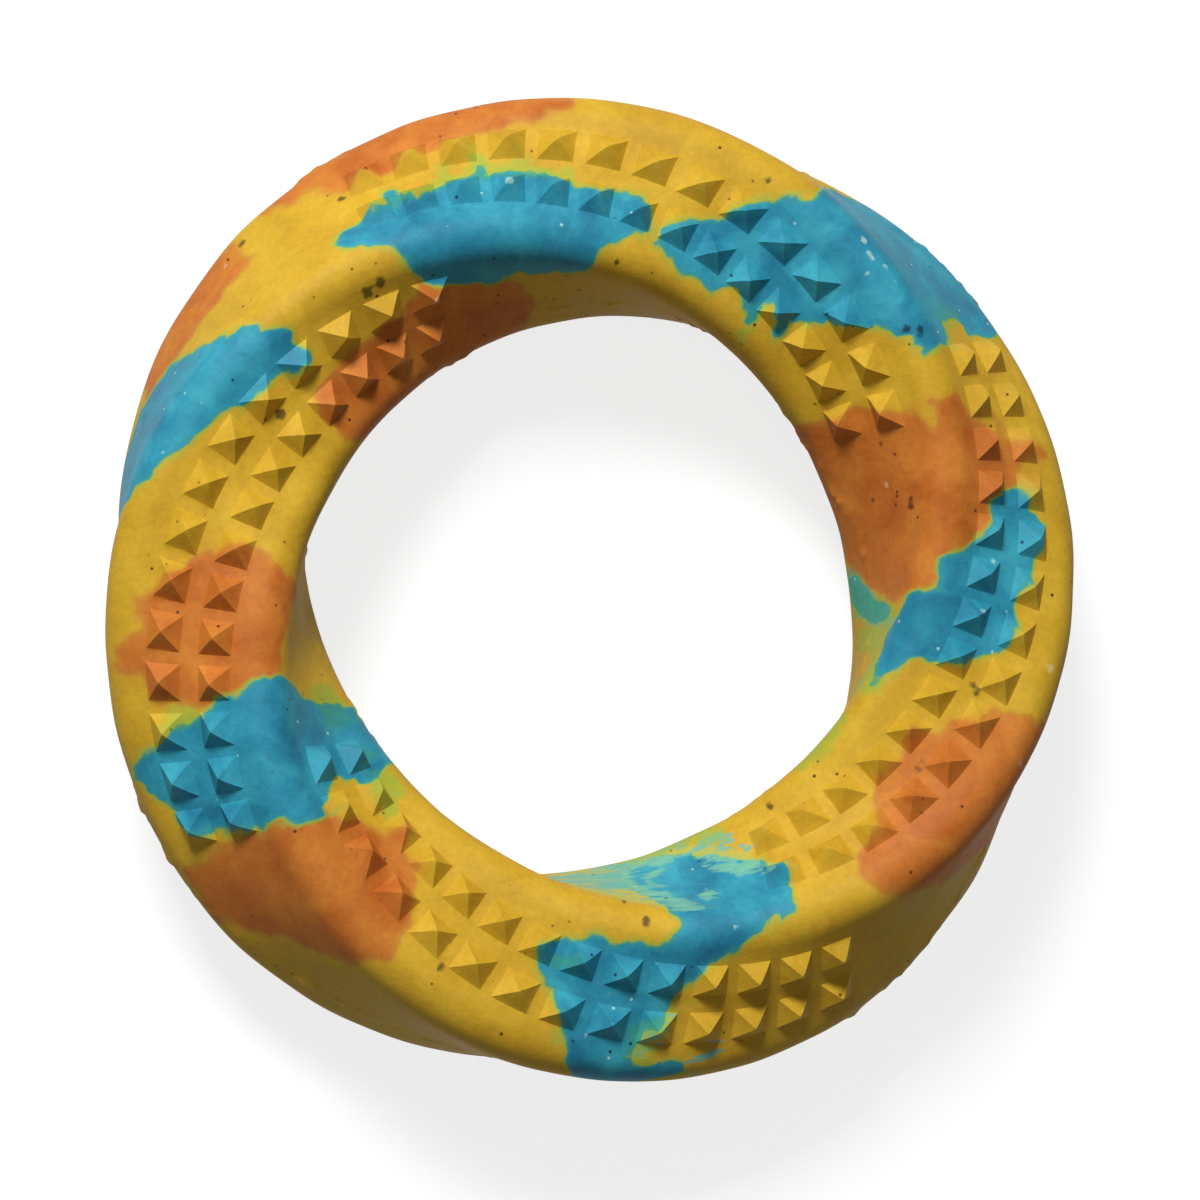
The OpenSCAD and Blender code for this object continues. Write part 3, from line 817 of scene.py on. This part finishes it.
# The orange rubber
# Eleven blanks of orange rubber of nearly the same softness as the yellow. They end where a
# turquoise blank begins, and blend into the yellow over about a millimetre on each side of the
# edge.
ORANGE_BLANKS = {
    "orange_top": [
        (318.5, 86, 104), (322.5, 78, 112), (325, 64, 113), (328, 57, 108), (332.5, 55, 104),
        (337.5, 53, 100), (342.5, 52, 96), (347.5, 50, 90), (352.5, 51, 84), (356, 53, 76),
    ],
    "orange_upper_right": [
        (51, -100, -80), (53, -103, -70), (55, -105, -48), (57.5, -107, -30), (59.4, -109, -16),
        (61, -111, 8), (64, -112, 15), (68, -114, 21), (69.5, -113, 38), (73, -112, 47),
        (76, -110, 28), (79.5, -109, 16), (82.5, -107, 4), (84.5, -104, -11), (87.6, -95, -17),
        (90, -83, -30), (91.6, -68, -46),
    ],
    "orange_lower_right": [
        (106.5, 34, 60), (108, 9, 76), (111, -8, 86), (114, -24, 93), (117.5, -29, 98),
        (121, -28, 96), (124, -31, 76), (127.5, -29, 55), (130, -14, 42), (133, -13, 32),
        (136, -11, 21), (138.6, -4, 12),
    ],
    "orange_lower_left": [
        (210.5, 3, 19), (212.5, -18, 30), (214, -30, 37), (217.5, -34, 49), (220, -36, 58),
        (223, -33, 67), (225.5, -29, 78), (228, -22, 87), (231, -14, 89), (233.5, -8, 86),
        (235.3, 11, 82),
    ],
    "orange_left": [
        (252.2, 8, 20), (253.6, -22, 34), (256, -27, 49), (258, -29, 53), (260, -32, 67),
        (262.5, -35, 57), (264.5, -39, 46), (267.5, -42, 43), (269, -43, 38), (271, -38, 27),
        (273, -30, 17), (275, -20, 5),
    ],
    "orange_upper_left": [
        (293, 96, 118), (296, 82, 122), (299, 74, 123), (302.5, 71, 118), (306, 70, 112),
        (310, 68, 104), (313, 69.5, 94),
    ],
    "orange_inner_top": [
        (298.6, -50, -38), (300.5, -72, -28), (304, -88, -24), (310, -98, -27), (316, -104, -31),
        (322.5, -108, -30), (327.5, -110, -19), (331, -112, -30), (336, -113, -32),
        (340.5, -110, -34), (345, -104, -56), (347.5, -94, -74),
    ],
    "orange_back_bottom": [
        (176, 150, 166), (181, 138, 188), (187.5, 131, 206), (194, 132, 216), (201, 142, 218),
        (207.5, 160, 210), (211, 178, 196),
    ],
    "orange_back_upper_right": [
        (30, 168, 182), (35, 150, 204), (41, 138, 222), (48, 134, 232), (55, 146, 234),
        (61, 168, 226), (65, 188, 212),
    ],
    "orange_back_lower_right": [
        (144, 206, 222), (149, 186, 236), (155, 172, 242), (161, 170, 234), (166, 180, 216),
    ],
    "orange_back_upper_left": [
        (298, 176, 192), (303, 158, 212), (309, 148, 224), (315, 150, 228), (321, 164, 222),
        (325, 182, 208),
    ],
}
ORANGE_TONGUES = [
    ("orange_upper_right", [
        (69.5, 36), (70.8, 46), (71.3, 60), (73.2, 61), (73.4, 46), (75, 36),
    ]),
    ("orange_lower_left", [(217.8, -32), (218.2, -50), (220.4, -50), (221, -32)]),
]
FREE_OF_ORANGE = [[(58, -5), (61.2, -7), (63.4, -11), (61.5, -15.5), (58, -17)]]
# Here a breath of orange shows through the yellow. It is strongest TINT_FULL millimetres inside
# its outline, where it is as strong as TINT_DEPTH from an orange edge, and fades outwards.
ORANGE_TINT = [
    [(6, 49), (16, 45), (26, 47), (26, 60), (6, 60)],
    [(65, 26), (70, 30), (70, 44), (66, 40)],
    [(73.5, 38), (76.5, 38), (76.5, 50), (73.5, 50)],
]
TINT_FULL, TINT_DEPTH, TINT_SLOPE = 1.0, -0.12, 0.4
ORANGE_EDGE_WAVES = [(0.3, 5.5), (0.16, 2.2)]
# Orange blends into yellow in wavers of this size, in millimetres
FEATHER = (2.2, 2.2, 2.2)

# Orange compound: satin, swirled from brown to pale orange, with pale and brown bits
orange_rubber = moulded_rubber(
    "orange_rubber_moulded_satin",
    shades=("#B65E1D", "#C8742B", "#D68632"),
    bleeds=[
        ("orange_mm", 0.3, FEATHER, [(0.0, 0.7), (0.35, 0.3), (1.1, 0.0)], "#CC9A34"),
        ("turquoise_mm", 0.1, FRINGE, [(-0.55, 0.0), (-0.2, 0.6), (0.0, 1.0)], "#9DAE45"),
        ("teal_mm", 0.8, STREAKS, [(-0.3, 0.0), (0.4, 0.3), (1.2, 0.7)], "#7FA77A"),
        ("green_mm", 1.0, BLOTCHES, [(-0.5, 0.0), (0.5, 0.4), (1.6, 0.7)], "#9A9E44"),
        ("smudge_mm", 0.15, FRINGE, [(-0.2, 0.0), (0.15, 0.8)], "#46240E"),
        ("rubbed_mm", 0.2, FRINGE, [(-0.15, 0.0), (0.1, 0.6)], "#E0B48C"),
    ],
    specks=[(2.4, 0.26, 0.3, "#DDA56A"), (2.4, 0.3, 0.34, "#5A2A10")],
    roughness=0.6,
)
orange_blank, orange_depth = blank_depths(
    ORANGE_BLANKS, ORANGE_TONGUES, FREE_OF_ORANGE, ORANGE_EDGE_WAVES
)
tint = (np.minimum(deepest_in(ORANGE_TINT), TINT_FULL) - TINT_FULL) * TINT_SLOPE + TINT_DEPTH
orange_depth = np.maximum(orange_depth, tint)
orange_depth, (turquoise_depth, orange_blank, *marks), old, in_orange = split_skin(
    orange_depth, [turquoise_depth, orange_blank, *marks]
)
in_turquoise = in_turquoise[old]
in_orange &= ~in_turquoise
orange_of = blank_of(in_orange, orange_depth, orange_blank)
for number, name in enumerate(ORANGE_BLANKS):
    add_piece(
        name, orange_of == number, orange_rubber,
        {"turquoise_mm": turquoise_depth, "orange_mm": orange_depth, **dict(zip(MARKS, marks))},
    )


# The yellow body
# The bar itself: yellow rubber, solid through to its core, with the pockets that the coloured
# blanks pressed into it. It comes last because what the blanks leave of the skin is yellow.

# Yellow compound: satin, swirled from ochre to golden yellow, with brown and dark bits
yellow_rubber = moulded_rubber(
    "yellow_rubber_moulded_satin",
    shades=("#C69A24", "#D2A72A", "#DCB234"),
    bleeds=[
        ("orange_mm", 0.3, FEATHER, [(-0.9, 0.0), (-0.3, 0.25), (0.0, 0.65)], "#CB8A31"),
        ("turquoise_mm", 0.1, FRINGE, [(-0.9, 0.0), (-0.4, 0.35), (0.0, 0.9)], "#A5B244"),
        ("pale_mm", 1.0, STREAKS, [(-0.7, 0.0), (0.2, 0.5), (1.5, 0.9)], "#B2C268"),
        ("teal_mm", 2.6, STREAKS, [(0.0, 0.0), (0.4, 0.6), (1.4, 0.85)], "#58B6AE"),
        ("green_mm", 1.0, BLOTCHES, [(-0.6, 0.0), (0.3, 0.5), (1.6, 0.8)], "#98B840"),
        ("smudge_mm", 0.15, FRINGE, [(-0.2, 0.0), (0.15, 0.8)], "#3C3012"),
        ("rubbed_mm", 0.2, FRINGE, [(-0.15, 0.0), (0.1, 0.6)], "#EBD79A"),
    ],
    specks=[(2.6, 0.26, 0.28, "#8A6218"), (2.8, 0.3, 0.28, "#4A3A14")],
    roughness=0.6,
)
in_yellow = ~in_turquoise & ~in_orange
add_piece(
    "yellow_body", in_yellow, yellow_rubber,
    {"turquoise_mm": turquoise_depth, "orange_mm": orange_depth, **dict(zip(MARKS, marks))},
    pockets=~in_yellow,
)


# The floor
# A sheet of matte white card under the ring. What the camera sees of it is lifted to white and
# keeps the ring's soft shadow; what it throws back on the rubber is that of plain grey card.
FLOOR_HALF = 3.0
CARD_THROWN, CARD_SEEN = linear("#808080"), linear("#8C8C8C")
CARD_LIFT, CARD_ROUGHNESS = 0.8, 0.9
floor_mesh = bpy.data.meshes.new("floor")
floor_mesh.from_pydata(
    [(x * FLOOR_HALF, y * FLOOR_HALF, 0) for x, y in ((-1, -1), (1, -1), (1, 1), (-1, 1))],
    [], [(0, 1, 2, 3)],
)
floor = bpy.data.objects.new("floor", floor_mesh)
bpy.context.scene.collection.objects.link(floor)
card = bpy.data.materials.new("white_card_matte")
card.use_nodes = True
card_tree = card.node_tree
card_shader = card_tree.nodes["Principled BSDF"]
card_shader.inputs["Roughness"].default_value = CARD_ROUGHNESS
rays = add_node(card_tree, "ShaderNodeLightPath")
seen = add_node(
    card_tree, "ShaderNodeMath",
    {0: rays.outputs["Is Camera Ray"], 1: rays.outputs["Is Glossy Ray"]}, operation="MAXIMUM",
).outputs[0]
seen = add_node(
    card_tree, "ShaderNodeMath", {0: seen, 1: rays.outputs["Is Transmission Ray"]},
    operation="MAXIMUM",
).outputs[0]
card_colour = add_node(
    card_tree, "ShaderNodeMix", {0: seen, 6: CARD_THROWN, 7: CARD_SEEN}, data_type="RGBA"
).outputs[2]
card_tree.links.new(card_colour, card_shader.inputs["Base Color"])
lift = add_node(
    card_tree, "ShaderNodeMath", {0: seen, 1: CARD_LIFT}, operation="MULTIPLY"
).outputs[0]
card_shader.inputs["Emission Color"].default_value = (1, 1, 1, 1)
card_tree.links.new(lift, card_shader.inputs["Emission Strength"])
floor_mesh.materials.append(card)


# The light
# One softbox stands beyond the top of the ring, 25 degrees to its left and 48 degrees above the
# floor. The pale room fills the shade at a seventh of its strength.
KEY_TURN, KEY_RISE, KEY_AWAY, KEY_SIZE = math.radians(-25), math.radians(48), 1.2, 0.3
KEY_LEVEL, ROOM_LEVEL = 1.05, 0.155
key_from = Vector((
    math.sin(KEY_TURN) * math.cos(KEY_RISE),
    math.cos(KEY_TURN) * math.cos(KEY_RISE),
    math.sin(KEY_RISE),
)) * KEY_AWAY
key_data = bpy.data.lights.new("softbox", "AREA")
key_data.size = KEY_SIZE
key_data.energy = KEY_LEVEL * math.pi ** 2 * KEY_AWAY ** 2
key = bpy.data.objects.new("softbox", key_data)
key.matrix_world = (
    Matrix.Translation(key_from) @ key_from.to_track_quat("Z", "Y").to_matrix().to_4x4()
)
bpy.context.scene.collection.objects.link(key)
room = bpy.data.worlds.new("pale_room")
room.use_nodes = True
room.node_tree.nodes["Background"].inputs["Color"].default_value = (1, 1, 1, 1)
room.node_tree.nodes["Background"].inputs["Strength"].default_value = ROOM_LEVEL
bpy.context.scene.world = room
